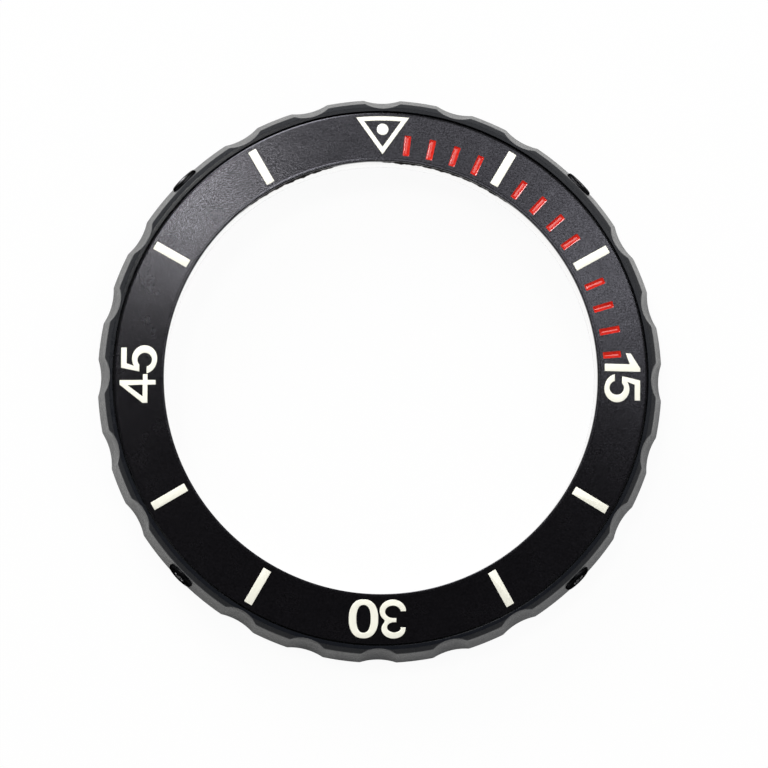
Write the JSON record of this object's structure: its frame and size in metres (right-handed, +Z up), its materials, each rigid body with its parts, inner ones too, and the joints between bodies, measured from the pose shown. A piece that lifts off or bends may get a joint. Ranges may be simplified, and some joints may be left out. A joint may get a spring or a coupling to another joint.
{
  "type": "rotating watch bezel",
  "caption": "Turning dive-watch bezel: scalloped black ring with a sloped minute insert, side screws and a ratchet click seat.",
  "frame": {"origin": "centre of the flat seat face at the bottom of the seat ring", "axes": "+Z up along the bore towards the wearer's eye, +Y to the 60 minute triangle, +X to the 15 minute numeral"},
  "size_m": [0.0406, 0.0406, 0.0042],
  "materials": {
    "coated_steel": "black hard coating on steel, glossy flank and satin rim",
    "anodised_aluminium": "matt black anodised with a fine blasted grain",
    "adhesive_film": "thin double-sided film",
    "white_paint": "white filled and cured paint, slightly proud",
    "luminous_dot": "white luminous paste under a clear coat",
    "red_enamel": "glossy red enamel in engraved slots",
    "blackened_screw": "glossy black coated steel",
    "bare_steel": "turned stainless steel",
    "ratchet_steel": "milled and hardened stainless steel",
    "hardened_steel": "ground and polished hardened steel",
    "spring_steel": "drawn spring wire",
    "glide_polymer": "low-friction polymer"
  },
  "bodies": {
    "case_seat": {"seat_ring": "bare_steel", "glide_ring": "glide_polymer", "click_spring_1": "spring_steel", "click_spring_2": "spring_steel", "click_spring_3": "spring_steel"},
    "bezel": {"bezel_ring": "coated_steel", "ratchet_ring": "ratchet_steel", "insert_adhesive": "adhesive_film", "insert": "anodised_aluminium", "zero_triangle": "white_paint", "zero_dot": "luminous_dot", "bar_05": "white_paint", "bar_10": "white_paint", "bar_20": "white_paint", "bar_25": "white_paint", "bar_35": "white_paint", "bar_40": "white_paint", "bar_50": "white_paint", "bar_55": "white_paint", "minute_mark_01": "red_enamel", "minute_mark_02": "red_enamel", "minute_mark_03": "red_enamel", "minute_mark_04": "red_enamel", "minute_mark_06": "red_enamel", "minute_mark_07": "red_enamel", "minute_mark_08": "red_enamel", "minute_mark_09": "red_enamel", "minute_mark_11": "red_enamel", "minute_mark_12": "red_enamel", "minute_mark_13": "red_enamel", "minute_mark_14": "red_enamel", "side_screw_1": "blackened_screw", "side_screw_2": "blackened_screw", "side_screw_3": "blackened_screw", "side_screw_4": "blackened_screw"},
    "click_pin_1": {"click_pin_1": "hardened_steel"},
    "click_pin_2": {"click_pin_2": "hardened_steel"},
    "click_pin_3": {"click_pin_3": "hardened_steel"}
  },
  "joints": [
    {"name": "bezel_turn", "type": "hinge", "parent": "case_seat", "child": "bezel", "pos_m": [0, 0, 0], "axis": [0, 0, 1], "continuous": true},
    {"name": "click_slide_1", "type": "slide", "parent": "case_seat", "child": "click_pin_1", "axis": [0, 0, -1], "range_m": [0, 0.0003], "stiffness_N_per_m": 800, "springref_m": -0.0004, "deforming": ["click_spring_1"]},
    {"name": "click_slide_2", "type": "slide", "parent": "case_seat", "child": "click_pin_2", "axis": [0, 0, -1], "range_m": [0, 0.0003], "stiffness_N_per_m": 800, "springref_m": -0.0004, "deforming": ["click_spring_2"]},
    {"name": "click_slide_3", "type": "slide", "parent": "case_seat", "child": "click_pin_3", "axis": [0, 0, -1], "range_m": [0, 0.0003], "stiffness_N_per_m": 800, "springref_m": -0.0004, "deforming": ["click_spring_3"]}
  ]
}
